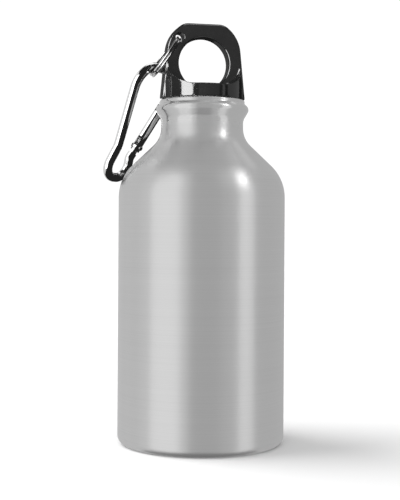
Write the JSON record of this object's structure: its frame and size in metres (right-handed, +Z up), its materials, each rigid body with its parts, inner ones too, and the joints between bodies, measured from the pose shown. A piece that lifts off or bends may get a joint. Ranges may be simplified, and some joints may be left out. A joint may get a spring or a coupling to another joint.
{
  "type": "canteen",
  "caption": "Single-wall aluminium drinking bottle with a screw-in black loop cap, a split ring and a snap carabiner hung from it.",
  "frame": {"origin": "centre of the base, on the surface the bottle stands on", "axes": "+Z up the bottle's axis; -Y is the front, so the ring and carabiner hang at -X and slightly behind"},
  "size_m": [0.0746, 0.068, 0.1712],
  "materials": {
    "brushed_aluminium": "fine brushed, round the axis",
    "turned_aluminium": "turned",
    "black_plastic": "gloss moulded",
    "clear_silicone": "soft matte",
    "nickel_plated_steel": "bright nickel",
    "polished_aluminium": "polished",
    "polished_gate": "polished",
    "rivet_steel": "bright",
    "latch_steel": "bright",
    "plunger_steel": "plain",
    "spring_steel": "plain"
  },
  "bodies": {
    "bottle": {"bottle_body": "brushed_aluminium", "neck_thread_insert": "turned_aluminium"},
    "seal": {"cap_gasket": "clear_silicone"},
    "cap": {"cap": "black_plastic"},
    "ring": {"split_ring": "nickel_plated_steel"},
    "carabiner": {"carabiner_frame": "polished_aluminium", "gate_hinge_pin": "rivet_steel"},
    "gate": {"carabiner_gate": "polished_gate", "latch_pin": "latch_steel", "gate_spring": "spring_steel"},
    "plunger": {"gate_spring_plunger": "plunger_steel"}
  },
  "joints": [
    {"name": "cap_lift", "type": "slide", "parent": "bottle", "child": "seal", "axis": [0, 0, 1], "range_m": [0, 0.0201]},
    {"name": "cap_turn", "type": "hinge", "parent": "seal", "child": "cap", "pos_m": [0, 0, 0.14029], "axis": [0, 0, 1], "range_deg": [0, 1440]},
    {"name": "ring_swing", "type": "hinge", "parent": "cap", "child": "ring", "pos_m": [-0.00984, -0.00227, 0.16519], "axis": [-0.225, 0.9744, 0], "range_deg": [0, 95]},
    {"name": "carabiner_swing", "type": "hinge", "parent": "ring", "child": "carabiner", "pos_m": [-0.02205, 0.0021, 0.14474], "axis": [-0.7718, 0.5111, 0.3783], "range_deg": [0, 70]},
    {"name": "gate_open", "type": "hinge", "parent": "carabiner", "child": "gate", "pos_m": [-0.02745, 0.01103, 0.12167], "axis": [0.7718, -0.5111, -0.3783], "range_deg": [0, 25], "stiffness_Nm_per_rad": 0.02, "springref_deg": -17.19},
    {"name": "plunger_push", "type": "slide", "parent": "gate", "child": "plunger", "axis": [0.5102, 0.1426, 0.8481], "range_m": [0, 0.0006], "deforming": ["gate_spring"]}
  ],
  "couplings": [
    {"joint": "cap_lift", "follows": "cap_turn", "m_per_rad": 0.00079577},
    {"joint": "plunger_push", "follows": "gate_open", "m_per_rad": 0.0012}
  ]
}
